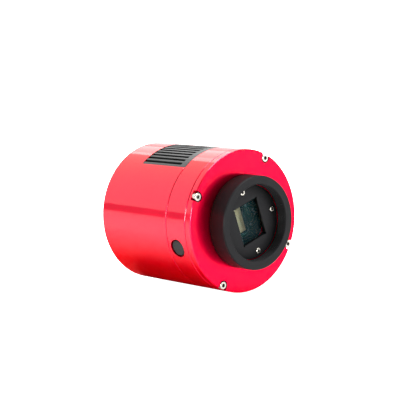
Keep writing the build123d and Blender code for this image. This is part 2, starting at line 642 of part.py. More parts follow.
GUARD_RINGS = (17.6, 13.4, 9.2)
GUARD_RING_HALF_WIDTH = 0.65
GUARD_RIM = 1.9
GUARD_SPOKE = 1.6
GUARD_BOSS_R = 5.0
with BuildPart() as fan_guard:
    with BuildSketch(plane_at(COVER_REAR)):
        with Locations(FAN_CENTRE):
            Circle(GUARD_R)
            Circle(GUARD_R - GUARD_RIM, mode=Mode.SUBTRACT)
            for ring_r in GUARD_RINGS:
                Circle(ring_r + GUARD_RING_HALF_WIDTH)
                Circle(ring_r - GUARD_RING_HALF_WIDTH, mode=Mode.SUBTRACT)
            Circle(GUARD_BOSS_R)
            # each spoke runs from inside the boss to the middle of the rim
            spoke_start = GUARD_BOSS_R / 2
            spoke_end = GUARD_R - GUARD_RIM / 2
            with PolarLocations((spoke_start + spoke_end) / 2, 4, start_angle=45):
                Rectangle(spoke_end - spoke_start, GUARD_SPOKE)
    extrude(amount=GUARD_THICKNESS)
save(fan_guard.part, "fan_guard")

# ---------------------------------------------------------------- fan
FAN_REAR = COVER_FRONT
FAN_FRONT = FAN_REAR - FAN_DEPTH
HUB_R = 9.5
HUB_WALL = 1.0
HUB_FRONT = FAN_FRONT + 0.8
HUB_REAR = FAN_REAR - 2.2
HUB_FLOOR = HUB_FRONT + 1.8
BASE_FRONT = FAN_REAR - 1.5
FAN_LUG_HALF_WIDTH = 2.6
FAN_STRUT = 1.8
STRUT_OVERLAP = 0.3  # each end of a strut runs this far into the frame and the motor base
SHAFT_R = 1.0
SHAFT_FRONT = HUB_FRONT + 0.6
BEARING_R = 1.7
with BuildPart() as fan_frame:
    with BuildSketch(plane_at(FAN_REAR)):
        with Locations(FAN_CENTRE):
            Circle(FAN_FRAME_R)
        with Locations(*FAN_LUGS):
            Circle(FAN_LUG_HALF_WIDTH)
        with Locations(FAN_CENTRE):
            Circle(FAN_BORE_R, mode=Mode.SUBTRACT)
    extrude(amount=FAN_DEPTH)
    discs([FAN_CENTRE], HUB_R, BASE_FRONT, FAN_REAR)
    with BuildSketch(plane_at(FAN_REAR)):
        with Locations(FAN_CENTRE):
            with PolarLocations((HUB_R + FAN_BORE_R) / 2, 4, start_angle=0):
                Rectangle(FAN_BORE_R - HUB_R + 2 * STRUT_OVERLAP, FAN_STRUT)
    extrude(amount=FAN_REAR - BASE_FRONT)
    discs(FAN_LUGS, LUG_SCREW_SHANK_R + SHANK_FIT, FAN_FRONT, FAN_REAR, Mode.SUBTRACT)
    discs([FAN_CENTRE], BEARING_R + FIT, BASE_FRONT, FAN_REAR, Mode.SUBTRACT)
save(fan_frame.part, "fan_frame")

BEARING_FRONT = HUB_FRONT + 2.4
with BuildPart() as fan_bearing:
    discs([FAN_CENTRE], BEARING_R, BEARING_FRONT, FAN_REAR)
    discs([FAN_CENTRE], SHAFT_R + SHANK_FIT, BEARING_FRONT, FAN_REAR, Mode.SUBTRACT)
save(fan_bearing.part, "fan_bearing")

STATOR_CORE_R = 3.4
STATOR_POLE_R = 5.9  # to the middle of each pole shoe
POLE_SHOE = (1.4, 4.6)
POLE_NECK = 1.8
with BuildPart() as fan_stator:
    neck_start = STATOR_CORE_R - STRUT_OVERLAP
    with BuildSketch(plane_at(BASE_FRONT)):
        with Locations(FAN_CENTRE):
            Circle(STATOR_CORE_R)
            with PolarLocations((neck_start + STATOR_POLE_R) / 2, 4, start_angle=45):
                Rectangle(STATOR_POLE_R - neck_start, POLE_NECK)
            with PolarLocations(STATOR_POLE_R, 4, start_angle=45):
                Rectangle(*POLE_SHOE)
            Circle(BEARING_R, mode=Mode.SUBTRACT)
    extrude(amount=BASE_FRONT - BEARING_FRONT - STRUT_OVERLAP)
save(fan_stator.part, "fan_stator")

BLADE_ROOT_R = HUB_R - STRUT_OVERLAP
BLADE_TIP_R = FAN_BORE_R - 0.8
BLADE_CHORD = 3.7  # half the blade's depth along the axis
BLADE_SWEEP = 3.2  # half the blade's width round the axis
BLADE_BACK = (-0.3, 1.4)  # the middle of the blade's hollow side
BLADE_FACE = (0.5, 0.3)
BOSS_R = 2.2
with BuildPart() as fan_rotor:
    discs([FAN_CENTRE], HUB_R, HUB_FRONT, HUB_REAR)
    discs([FAN_CENTRE], HUB_R - HUB_WALL, HUB_FRONT + HUB_WALL, HUB_REAR, Mode.SUBTRACT)
    discs([FAN_CENTRE], BOSS_R, HUB_FRONT, HUB_FLOOR)
    discs([FAN_CENTRE], SHAFT_R, SHAFT_FRONT, HUB_FLOOR, Mode.SUBTRACT)
    mid_depth = (HUB_FRONT + HUB_REAR) / 2
    for blade in range(BLADE_COUNT):
        angle = radians(360 / BLADE_COUNT * blade)
        outward = Vector(cos(angle), 0, sin(angle))
        root = Vector(0, mid_depth, FAN_Z) + outward * BLADE_ROOT_R
        with BuildSketch(Plane(origin=root, x_dir=(0, 1, 0), z_dir=outward)):
            with BuildLine():
                ThreePointArc((-BLADE_CHORD, -BLADE_SWEEP), BLADE_BACK, (BLADE_CHORD, BLADE_SWEEP))
                ThreePointArc((BLADE_CHORD, BLADE_SWEEP), BLADE_FACE, (-BLADE_CHORD, -BLADE_SWEEP))
            make_face()
        extrude(amount=BLADE_TIP_R - BLADE_ROOT_R)
    # blades end on a circle, clear of the frame
    with BuildSketch(plane_at(FAN_REAR)):
        with Locations(FAN_CENTRE):
            Circle(BLADE_TIP_R)
    extrude(amount=FAN_DEPTH, mode=Mode.INTERSECT)
    # the cup's inside stays clear of the blades' roots
    discs([FAN_CENTRE], HUB_R - HUB_WALL, HUB_FLOOR, HUB_REAR, Mode.SUBTRACT)
save(fan_rotor.part, "fan_rotor")

MAGNET_FRONT = HUB_FLOOR + 0.1
MAGNET_BORE_R = HUB_R - HUB_WALL - 1.2
with BuildPart() as fan_magnet:
    discs([FAN_CENTRE], HUB_R - HUB_WALL, MAGNET_FRONT, HUB_REAR)
    discs([FAN_CENTRE], MAGNET_BORE_R, MAGNET_FRONT, HUB_REAR, Mode.SUBTRACT)
save(fan_magnet.part, "fan_magnet")

with BuildPart() as fan_shaft:
    discs([FAN_CENTRE], SHAFT_R, SHAFT_FRONT, FAN_REAR - 0.2)
save(fan_shaft.part, "fan_shaft")

with BuildPart() as fan_screws:
    cap_screws(
        FAN_LUGS,
        COVER_REAR - 0.1,
        LUG_SCREW_SEAT,
        FAN_FRONT + 3,
        LUG_SCREW_HEAD_R,
        LUG_SCREW_SHANK_R,
        M2_SOCKET,
    )
save(fan_screws.part, "fan_screws")

# ---------------------------------------------------------------- port board
PORT_BOARD_R = 36.0
PORT_BOARD_HOLE_R = 1.8
PORT_SCREW_SHANK_R = 1.0
with BuildPart() as port_board:
    with BuildSketch(plane_at(PORT_BOARD_REAR)):
        Circle(PORT_BOARD_R)
        # only the part below the axis is kept
        with Locations((0, BODY_R)):
            Rectangle(4 * BODY_R, 2 * BODY_R, mode=Mode.SUBTRACT)
        with Locations(FAN_CENTRE):
            Circle(FAN_BORE_R + 0.5, mode=Mode.SUBTRACT)
        with Locations(*TIE_BOLTS):
            Circle(PORT_BOARD_HOLE_R, mode=Mode.SUBTRACT)
        with Locations(*PORT_STANDOFFS):
            Circle(PORT_SCREW_SHANK_R + FIT, mode=Mode.SUBTRACT)
    extrude(amount=PORT_BOARD_REAR - PORT_BOARD_FRONT)
save(port_board.part, "port_board")

# chips and coils on the port board, each centre with its size in x and z and its height
PORT_BOARD_CHIPS = {
    (0.0, -27.0): (7.0, 7.0, 1.2),
    (-12.0, -27.0): (5.0, 5.0, 1.2),
    (12.0, -27.0): (6.0, 4.0, 1.2),
    (-30.0, -9.0): (4.0, 4.0, 2.6),
    (28.0, -10.0): (4.0, 4.0, 2.6),
}
FLEX_SOCKET_CENTRE = (CABLE_SLOT_X + 1.1, FLEX_Z)
FLEX_SOCKET = (1.5, FLEX_WIDTH + 1, 2.0)
with BuildPart() as port_board_parts:
    for centre, (size_x, size_z, height) in [*PORT_BOARD_CHIPS.items(), (FLEX_SOCKET_CENTRE, FLEX_SOCKET)]:
        block(centre, size_x, size_z, PORT_BOARD_FRONT - height, PORT_BOARD_FRONT)
save(port_board_parts.part, "port_board_parts")

with BuildPart() as port_standoffs:
    with BuildSketch(plane_at(COVER_FRONT)):
        with Locations(*PORT_STANDOFFS):
            RegularPolygon(STANDOFF_HALF_FLATS, 6, major_radius=False)
    extrude(amount=COVER_FRONT - PORT_BOARD_REAR)
    # the screw that holds the board on each standoff
    discs(PORT_STANDOFFS, PORT_SCREW_SHANK_R, PORT_BOARD_FRONT, PORT_BOARD_REAR)
    discs(PORT_STANDOFFS, M2_HEAD_R, PORT_BOARD_FRONT - M2_HEAD_H, PORT_BOARD_FRONT)
save(port_standoffs.part, "port_standoffs")

# ---------------------------------------------------------------- ports
PORT_MOUTH = COVER_REAR
PORT_CAVITY_FRONT = PORT_MOUTH - 9.0
TONGUE_END = PORT_MOUTH - 1.0
USB3_WALL = 0.5
USB3_INSERT_REAR = PORT_MOUTH - 0.3
# the lower cavity and tongue carry the main contacts, and the narrower upper pair the added ones
USB3_LOWER_SHIFT = -1.2
USB3_LOWER_CAVITY = (8.5, 6.0)
USB3_LOWER_TONGUE = (5.2, 2.6)
USB3_UPPER_SHIFT = 3.0
USB3_UPPER_CAVITY = (5.7, 2.6)
USB3_UPPER_TONGUE = (4.6, 0.9)
with BuildPart() as usb3_shell:
    inner_x = USB3_X - 2 * USB3_WALL
    inner_z = USB3_Z - 2 * USB3_WALL
    block(USB3_CENTRE, USB3_X, USB3_Z, PORT_BOARD_REAR, PORT_MOUTH)
    block(USB3_CENTRE, inner_x, inner_z, PORT_BOARD_REAR, PORT_MOUTH, Mode.SUBTRACT)
save(usb3_shell.part, "usb3_shell")

with BuildPart() as usb3_insert:
    lower = (USB3_CENTRE[0], USB3_CENTRE[1] + USB3_LOWER_SHIFT)
    upper = (USB3_CENTRE[0], USB3_CENTRE[1] + USB3_UPPER_SHIFT)
    block(USB3_CENTRE, inner_x, inner_z, PORT_BOARD_REAR, USB3_INSERT_REAR)
    block(lower, *USB3_LOWER_CAVITY, PORT_CAVITY_FRONT, PORT_MOUTH, Mode.SUBTRACT)
    block(upper, *USB3_UPPER_CAVITY, PORT_CAVITY_FRONT, PORT_MOUTH, Mode.SUBTRACT)
    block(lower, *USB3_LOWER_TONGUE, PORT_CAVITY_FRONT, TONGUE_END)
    block(upper, *USB3_UPPER_TONGUE, PORT_CAVITY_FRONT, TONGUE_END)
save(usb3_insert.part, "usb3_insert")

USB2_WALL = 0.4
USB2_TONGUE = (1.9, 11.0)
USB2_TONGUE_SHIFT = 1.1

for side, centre in USB2_CENTRES.items():
    inner_x = USB2_X - 2 * USB2_WALL
    inner_z = USB2_Z - 2 * USB2_WALL
    with BuildPart() as usb2_shell:
        block(centre, USB2_X, USB2_Z, PORT_BOARD_REAR, PORT_MOUTH)
        block(centre, inner_x, inner_z, PORT_BOARD_REAR, PORT_MOUTH, Mode.SUBTRACT)
    save(usb2_shell.part, f"usb2_shell_{side}")
    with BuildPart() as usb2_insert:
        tongue_centre = (centre[0] + USB2_TONGUE_SHIFT, centre[1])
        block(centre, inner_x, inner_z, PORT_BOARD_REAR, PORT_CAVITY_FRONT)
        block(tongue_centre, *USB2_TONGUE, PORT_CAVITY_FRONT, TONGUE_END)
    save(usb2_insert.part, f"usb2_insert_{side}")

JACK_FLOOR = PORT_MOUTH - 9.5
with BuildPart() as dc_jack:
    discs([JACK_CENTRE], JACK_R, PORT_BOARD_REAR, PORT_MOUTH)
    discs([JACK_CENTRE], JACK_BORE_R, JACK_FLOOR, PORT_MOUTH, Mode.SUBTRACT)
save(dc_jack.part, "dc_jack")

with BuildPart() as dc_pin:
    discs([JACK_CENTRE], JACK_PIN_R, JACK_FLOOR, TONGUE_END)
    tip_edge = dc_pin.edges().filter_by(GeomType.CIRCLE).sort_by(Axis.Y)[-1]
    fillet(tip_edge, radius=JACK_PIN_R / 2)
save(dc_pin.part, "dc_pin")

# ---------------------------------------------------------------- internal wiring
FLEX_THICKNESS = 0.3
FLEX_START = (16.0 + FLEX_THICKNESS, BOARD_REAR + 0.8)  # at the sensor board's socket
FLEX_TURN_DEPTH = 25.0
FLEX_BEND_R = 3.0
with BuildPart() as flex_cable:
    with BuildSketch(Plane.XY.offset(FLEX_Z - FLEX_WIDTH / 2)):
        with BuildLine():
            route = FilletPolyline(
                (CABLE_SLOT_X, PORT_BOARD_FRONT - FLEX_THICKNESS),
                (CABLE_SLOT_X, FLEX_TURN_DEPTH),
                FLEX_START,
                radius=FLEX_BEND_R,
            )
            offset(route, amount=FLEX_THICKNESS / 2, side=Side.BOTH)
        make_face()
    extrude(amount=FLEX_WIDTH)
save(flex_cable.part, "flex_cable")

LEAD_R = 0.55
LEAD_BEND_R = 1.7
LEAD_START_X = -(TEC_SIZE / 2 + TEC_LEDGE)
LEAD_DEPTH = (PELLET_REAR + TEC_REAR) / 2 - CLEARANCE
for lead, lead_z in LEAD_ZS.items():
    with BuildPart() as tec_lead:
        with BuildLine() as lead_path:
            FilletPolyline(
                (LEAD_START_X, LEAD_DEPTH, lead_z),
                (-CABLE_SLOT_X, LEAD_DEPTH, lead_z),
                (-CABLE_SLOT_X, PORT_BOARD_FRONT, lead_z),
                radius=LEAD_BEND_R,
            )
        with BuildSketch(Plane(lead_path.line @ 0, z_dir=lead_path.line % 0)):
            Circle(LEAD_R)
        sweep()
    save(tec_lead.part, lead)
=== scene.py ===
"""Looks of the cooled astronomy camera: materials, fine geometry, studio light and camera.

Everything is in metres, in the frame of the CAD: Y runs back along the optical axis from the nose
ring's front face, and Z is up, towards the upper vent.
"""

import json
from math import cos, pi, radians, sin

import bmesh
import bpy
from mathutils import Matrix, Vector


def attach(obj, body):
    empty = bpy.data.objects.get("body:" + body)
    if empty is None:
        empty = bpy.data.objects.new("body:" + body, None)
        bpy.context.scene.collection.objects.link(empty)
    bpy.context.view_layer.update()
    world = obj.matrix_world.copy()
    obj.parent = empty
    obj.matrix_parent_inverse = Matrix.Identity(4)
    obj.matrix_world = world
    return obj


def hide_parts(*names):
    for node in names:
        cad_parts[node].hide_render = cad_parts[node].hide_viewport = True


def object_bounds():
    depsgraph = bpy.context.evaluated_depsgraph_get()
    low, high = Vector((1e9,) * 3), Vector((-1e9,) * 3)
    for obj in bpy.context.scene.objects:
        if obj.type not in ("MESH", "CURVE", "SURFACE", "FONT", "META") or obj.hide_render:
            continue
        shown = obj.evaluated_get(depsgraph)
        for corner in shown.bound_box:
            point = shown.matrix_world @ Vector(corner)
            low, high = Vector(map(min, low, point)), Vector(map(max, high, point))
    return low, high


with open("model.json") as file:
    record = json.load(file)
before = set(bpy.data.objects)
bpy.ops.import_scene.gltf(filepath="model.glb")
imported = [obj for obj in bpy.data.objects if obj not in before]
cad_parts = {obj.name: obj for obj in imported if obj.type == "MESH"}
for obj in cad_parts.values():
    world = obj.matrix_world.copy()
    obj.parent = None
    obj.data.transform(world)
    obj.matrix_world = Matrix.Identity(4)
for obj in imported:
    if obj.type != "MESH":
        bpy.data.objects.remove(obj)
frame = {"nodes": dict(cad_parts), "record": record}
cad_low, cad_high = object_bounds()
nodes = frame["nodes"]
MM = 0.001


# ---------------------------------------------------------------- node helpers
class Graph:
    """A material's node tree, with short calls to add and join nodes."""

    def __init__(self, name):
        self.material = bpy.data.materials.new(name)
        self.material.use_nodes = True
        self.tree = self.material.node_tree
        self.tree.nodes.clear()
        self.output = self.tree.nodes.new("ShaderNodeOutputMaterial")

    def add(self, kind, settings=None, **sockets):
        """Adds a node. A socket is given a number, a colour or another node's output."""
        node = self.tree.nodes.new("ShaderNode" + kind)
        for key, value in (settings or {}).items():
            setattr(node, key, value)
        for key, value in sockets.items():
            socket = self.socket(node, key)
            if isinstance(value, bpy.types.NodeSocket):
                self.tree.links.new(value, socket)
            else:
                socket.default_value = value
        return node

    @staticmethod
    def socket(node, key):
        """An input by name, with _ for a space, or by number, as in i0."""
        if key[0] == "i" and key[1:].isdigit():
            return node.inputs[int(key[1:])]
        return node.inputs[key.replace("_", " ")]

    def math(self, operation, a, b=0.0):
        return self.add("Math", {"operation": operation}, i0=a, i1=b).outputs[0]

    def sum(self, a, share_a, b, share_b):
        """Two values added up, each times its share."""
        a = self.math("MULTIPLY", a, share_a)
        return self.math("ADD", a, self.math("MULTIPLY", b, share_b))

    def coordinates(self):
        return self.add("TexCoord").outputs["Object"]

    def noise(self, vector, scale, detail=2.0, roughness=0.5):
        node = self.add("TexNoise", Vector=vector, Scale=scale, Detail=detail, Roughness=roughness)
        return node.outputs["Fac"]

    def remap(self, value, low, high, start=0.0, end=1.0):
        ends = {"From_Min": start, "From_Max": end, "To_Min": low, "To_Max": high}
        return self.add("MapRange", Value=value, **ends).outputs["Result"]

    def blend(self, factor, dark, light):
        """Colour between dark and light."""
        node = self.add("Mix", {"data_type": "RGBA"}, i0=factor)
        for index, value in ((6, dark), (7, light)):
            if isinstance(value, bpy.types.NodeSocket):
                self.tree.links.new(value, node.inputs[index])
            else:
                node.inputs[index].default_value = (*value[:3], 1.0)
        return node.outputs[2]

    def bump(self, height, distance, strength):
        node = self.add("Bump", Height=height, Distance=distance, Strength=strength)
        return node.outputs["Normal"]

    def shade(self, **sockets):
        """Ends the tree in one Principled shader."""
        shader = self.add("BsdfPrincipled", **sockets)
        self.tree.links.new(shader.outputs[0], self.output.inputs["Surface"])
        return self.material


WHITE = (1.0, 1.0, 1.0)
NOISE_RANGE = (0.3, 0.7)  # nearly all of a noise texture's values lie in here
ROLL = radians(20.3)  # the object lies turned this far about its axis
UNDERSIDE = (-sin(ROLL), 0.0, -cos(ROLL))  # the way down, for the object as it lies


def tint(colour, factor):
    return tuple(min(1.0, c * factor) for c in colour)


def turning_marks(graph, coordinates, spacing):
    """Random fine lines round the optical axis, as a lathe tool leaves them on faces and walls."""
    x, y, z = graph.add("SeparateXYZ", Vector=coordinates).outputs
    squares = graph.math("MULTIPLY", x, x), graph.math("MULTIPLY", z, z)
    radius = graph.math("SQRT", graph.math("ADD", *squares))
    run = graph.math("MULTIPLY", graph.math("ADD", radius, y), 1 / spacing)
    lines = graph.add("TexNoise", {"noise_dimensions": "1D"}, W=run, Scale=1.0, Detail=3.0)
    return lines.outputs["Fac"]


def polished_sides(graph, on_sides, elsewhere):
    """A gloss for the polished sides, another for the matt front, and little on the underside."""
    facing_front, facing_side = -0.95, -0.6
    underside_share, starts_to_fade, faded = 0.08, 0.15, 0.6
    normal = graph.add("NewGeometry").outputs["Normal"]
    y = graph.add("SeparateXYZ", Vector=normal).outputs[1]
    sideways = graph.remap(y, 0.0, 1.0, facing_front, facing_side)
    dot = graph.add("VectorMath", {"operation": "DOT_PRODUCT"}, i0=normal, i1=UNDERSIDE)
    above = graph.remap(dot.outputs["Value"], 1.0, underside_share, starts_to_fade, faded)
    return graph.math("MULTIPLY", graph.remap(sideways, elsewhere, on_sides), above)


def painted_crevice_shade(graph, reach):
    """Painted shade: 1 on open surfaces, falling towards 0 in seams, pockets and other corners, as
    ambient occlusion darkens the colour there.
    """
    return graph.add("AmbientOcclusion", {"samples": 8}, Distance=reach).outputs["AO"]


def anodised(
    name,
    colour,
    metallic,
    roughness,
    specular=0.5,
    coat=0.0,
    face_coat=0.0,
    edge=None,
    grain=0.01 * MM,
    reach=1.6 * MM,
    shade=0.3,
):
    """Anodised aluminium: turning marks, a fine matt grain, faint cloudiness and uneven gloss.

    Its coat weighs coat on the sides and face_coat on the front, and edge tints its glancing
    reflections. Painted shade: corners closer than reach darken to shade of the colour, standing in
    for the shade that falls in seams, pockets and bores.
    """
    graph = Graph(name)
    place = graph.coordinates()
    cloud = graph.noise(place, 60.0, 4.0)
    grit = graph.noise(place, 5200.0, 2.0, 0.7)
    lines = turning_marks(graph, place, 0.12 * MM)
    height = graph.sum(lines, 0.35, grit, 0.65)
    gloss = graph.sum(cloud, 0.6, grit, 0.4)
    clean = graph.blend(cloud, tint(colour, 0.93), tint(colour, 1.07))
    # painted shade: the base colour darkens towards shade times the colour in corners, seams and
    # bores
    unshaded_share = graph.remap(painted_crevice_shade(graph, reach), 0.0, 1.0, 0.35, 0.85)
    return graph.shade(
        Base_Color=graph.blend(unshaded_share, tint(colour, shade), clean),
        Metallic=metallic,
        Roughness=graph.remap(gloss, roughness - 0.05, roughness + 0.05, *NOISE_RANGE),
        Specular_IOR_Level=specular,
        Specular_Tint=(*(edge or WHITE), 1.0),
        Coat_Weight=polished_sides(graph, coat, face_coat) if coat else 0.0,
        Coat_Roughness=0.05,
        Normal=graph.bump(height, grain, 0.5),
    )


def bright_metal(name, colour, roughness):
    """Bare or plated metal: turned lines, smudges and small scratches, with painted shade in hex
    sockets and other crevices.
    """
    graph = Graph(name)
    place = graph.coordinates()
    smudge = graph.noise(place, 900.0, 4.0)
    lines = turning_marks(graph, place, 0.05 * MM)
    clean = graph.blend(smudge, tint(colour, 0.82), tint(colour, 1.05))
    # painted shade: the base colour darkens nearly to black in hex sockets and other crevices
    unshaded_share = graph.remap(painted_crevice_shade(graph, 1.5 * MM), 0.0, 1.0, 0.45, 0.85)
    return graph.shade(
        Base_Color=graph.blend(unshaded_share, tint(colour, 0.04), clean),
        Metallic=1.0,
        Roughness=graph.remap(smudge, roughness - 0.06, roughness + 0.1, *NOISE_RANGE),
        Normal=graph.bump(lines, 0.004 * MM, 0.4),
    )


def moulded(name, colour, roughness=0.5, specular=0.5):
    """Moulded plastic or rubber: a spark-eroded grain and slightly uneven colour."""
    graph = Graph(name)
    place = graph.coordinates()
    cloud = graph.noise(place, 220.0, 3.0)
    pits = graph.noise(place, 4000.0, 2.0, 0.6)
    return graph.shade(
        Base_Color=graph.blend(cloud, tint(colour, 0.88), tint(colour, 1.12)),
        Roughness=graph.remap(pits, roughness - 0.08, roughness + 0.1, *NOISE_RANGE),
        Specular_IOR_Level=specular,
        Normal=graph.bump(pits, 0.01 * MM, 0.6),
    )


def window_glass(name, alpha):
    """Coated glass: nearly clear, with a faint green-blue residual reflection and a little dust."""
    graph = Graph(name)
    place = graph.coordinates()
    dust = graph.noise(place, 2600.0, 2.0, 0.8)
    material = graph.shade(
        Base_Color=graph.blend(dust, (0.02, 0.05, 0.06), (0.04, 0.08, 0.09)),
        Roughness=0.03,
        IOR=1.45,
        Alpha=graph.remap(dust, alpha, alpha * 1.8, 0.72, 0.95),
    )
    material.surface_render_method = "BLENDED"
    return material


def circuit_board(name, mask, trace, pitch):
    """Green board: solder mask over copper traces, with plated via holes and a glossy varnish."""
    graph = Graph(name)
    place = graph.coordinates()
    x, _, z = graph.add("SeparateXYZ", Vector=place).outputs
    flat = graph.add("CombineXYZ", X=x, Y=z, Z=0.0).outputs[0]
    cells = graph.add(
        "TexVoronoi",
        {"voronoi_dimensions": "2D", "distance": "MANHATTAN", "feature": "F1"},
        Vector=flat,
        Scale=1 / pitch,
        Randomness=0.75,
    )
    lines = graph.add(
        "TexBrick",
        {"offset": 0.37, "squash_frequency": 3, "squash": 0.6},
        Vector=flat,
        Scale=1 / (3 * pitch),
        Mortar_Size=0.035,
        Mortar_Smooth=0.3,
        Brick_Width=0.9,
        Row_Height=0.28,
        Bias=0.0,
    )
    via = graph.remap(cells.outputs["Distance"], 1.0, 0.0, 0.13, 0.17)
    copper = graph.blend(lines.outputs["Fac"], mask, trace)
    mottled = graph.noise(place, 500.0, 3.0)
    base = graph.blend(graph.math("MULTIPLY", via, 0.8), copper, (0.45, 0.40, 0.22))
    return graph.shade(
        Base_Color=graph.blend(graph.math("MULTIPLY", mottled, 0.3), base, tint(mask, 0.6)),
        Metallic=graph.math("MULTIPLY", via, 0.7),
        Roughness=graph.remap(mottled, 0.28, 0.45, *NOISE_RANGE),
        Specular_IOR_Level=0.15,
        Normal=graph.bump(graph.math("ADD", lines.outputs["Fac"], via), 0.03 * MM, 0.6),
    )


def sensor_silicon(name):
    """Image sensor: khaki pixel field with faint rows, and a dark frame of circuitry round it."""
    graph = Graph(name)
    place = graph.coordinates()
    half_width, half_height, border = 4.45 * MM, 7.65 * MM, 0.1 * MM
    x, _, z = graph.add("SeparateXYZ", Vector=place).outputs
    inside_x = graph.remap(graph.math("ABSOLUTE", x), 1.0, 0.0, half_width, half_width + border)
    inside_z = graph.remap(graph.math("ABSOLUTE", z), 1.0, 0.0, half_height, half_height + border)
    field = graph.math("MULTIPLY", inside_x, inside_z)
    rows = graph.noise(place, 9000.0, 1.0)
    drift = graph.noise(place, 140.0, 2.0)
    pixels = graph.blend(drift, (0.47, 0.45, 0.24), (0.56, 0.53, 0.31))
    return graph.shade(
        Base_Color=graph.blend(field, (0.36, 0.35, 0.19), pixels),
        Metallic=0.1,
        Roughness=graph.remap(rows, 0.22, 0.34, *NOISE_RANGE),
        Normal=graph.bump(rows, 0.003 * MM, 0.4),
    )


RED = (0.94, 0.001, 0.042)
BLACK = (0.0105, 0.0105, 0.0113)
PINK = (1.0, 0.0, 0.08)
# reach and shade set how far painted shade spreads from corners and how dark it gets: the black
# anodise's reaches 14 mm and shades the nose ring's whole bore, and the grey anodise's darkens the
# heat sink's slots
MATERIALS = {
    "red_anodised": anodised(
        "red_anodised", RED, 1.0, 0.33, coat=1.0, face_coat=0.12, edge=PINK, shade=0.45
    ),
    "black_anodised": anodised(
        "black_anodised", BLACK, 0.0, 0.4, specular=0.08, grain=0.02 * MM, reach=14.0 * MM, shade=0.15
    ),
    "grey_anodised": anodised(
        "grey_anodised", (0.035, 0.036, 0.035), 0.0, 0.42, specular=0.45, reach=5.0 * MM, shade=0.04
    ),
    "dark_metal": anodised("dark_metal", (0.014, 0.0145, 0.014), 0.0, 0.5, specular=0.35),
    "steel": bright_metal("steel", (0.66, 0.63, 0.56), 0.24),
    "black_steel": bright_metal("black_steel", (0.045, 0.045, 0.048), 0.38),
    "tinned_steel": bright_metal("tinned_steel", (0.72, 0.72, 0.70), 0.27),
    "brass": bright_metal("brass", (0.76, 0.58, 0.27), 0.28),
    "copper": bright_metal("copper", (0.78, 0.40, 0.24), 0.25),
    "rubber": moulded("rubber", (0.018, 0.018, 0.018), 0.62),
    "coated_glass": window_glass("coated_glass", 0.07),
    "polyimide": moulded("polyimide", (0.55, 0.25, 0.04), 0.3),
    "white_plastic": moulded("white_plastic", (0.80, 0.80, 0.77), 0.5),
    "silicon": sensor_silicon("silicon"),
    "package_ceramic": moulded("package_ceramic", (0.001, 0.045, 0.037), 0.5, specular=0.15),
    "green_board": circuit_board(
        "green_board", (0.001, 0.048, 0.04), (0.002, 0.08, 0.065), 1.5 * MM
    ),
    "chip_plastic": moulded("chip_plastic", (0.05, 0.12, 0.12), 0.4),
    "white_ceramic": moulded("white_ceramic", (0.82, 0.82, 0.80), 0.45),
    "bismuth_telluride": bright_metal("bismuth_telluride", (0.30, 0.30, 0.33), 0.45),
    "grey_pad": moulded("grey_pad", (0.38, 0.40, 0.44), 0.7),
    "black_plastic": moulded("black_plastic", (0.022, 0.022, 0.023), 0.42),
    "magnet": moulded("magnet", (0.07, 0.065, 0.06), 0.55),
    "blue_plastic": moulded("blue_plastic", (0.01, 0.09, 0.42), 0.4),
    "red_wire": moulded("red_wire", (0.55, 0.015, 0.012), 0.4),
    "black_wire": moulded("black_wire", (0.02, 0.02, 0.02), 0.4),
}
for entry in frame["record"]["subparts"]:
    surface = nodes[entry["node"]].data
    surface.materials.clear()
    surface.materials.append(MATERIALS[entry["material_slot"]])


# ---------------------------------------------------------------- small chamfers
SHARP_EDGE = radians(32.0)


def soften(node, width):
    """Breaks a CAD piece's sharp edges with a narrow chamfer that catches the light."""
    piece = nodes[node]
    weld = piece.modifiers.new("weld", "WELD")
    weld.merge_threshold = 0.0005 * MM
    flat = piece.modifiers.new("flat faces", "DECIMATE")
    flat.decimate_type = "DISSOLVE"
    flat.angle_limit = radians(0.5)
    flat.delimit = {"MATERIAL"}
    bevel = piece.modifiers.new("edge break", "BEVEL")
    bevel.width = width
    bevel.segments = 2
    bevel.limit_method = "ANGLE"
    bevel.angle_limit = SHARP_EDGE
    bevel.harden_normals = True
    bevel.use_clamp_overlap = True


WALL_LEAN = radians(8.0)  # a facet turned less than this from the radius belongs to a round wall


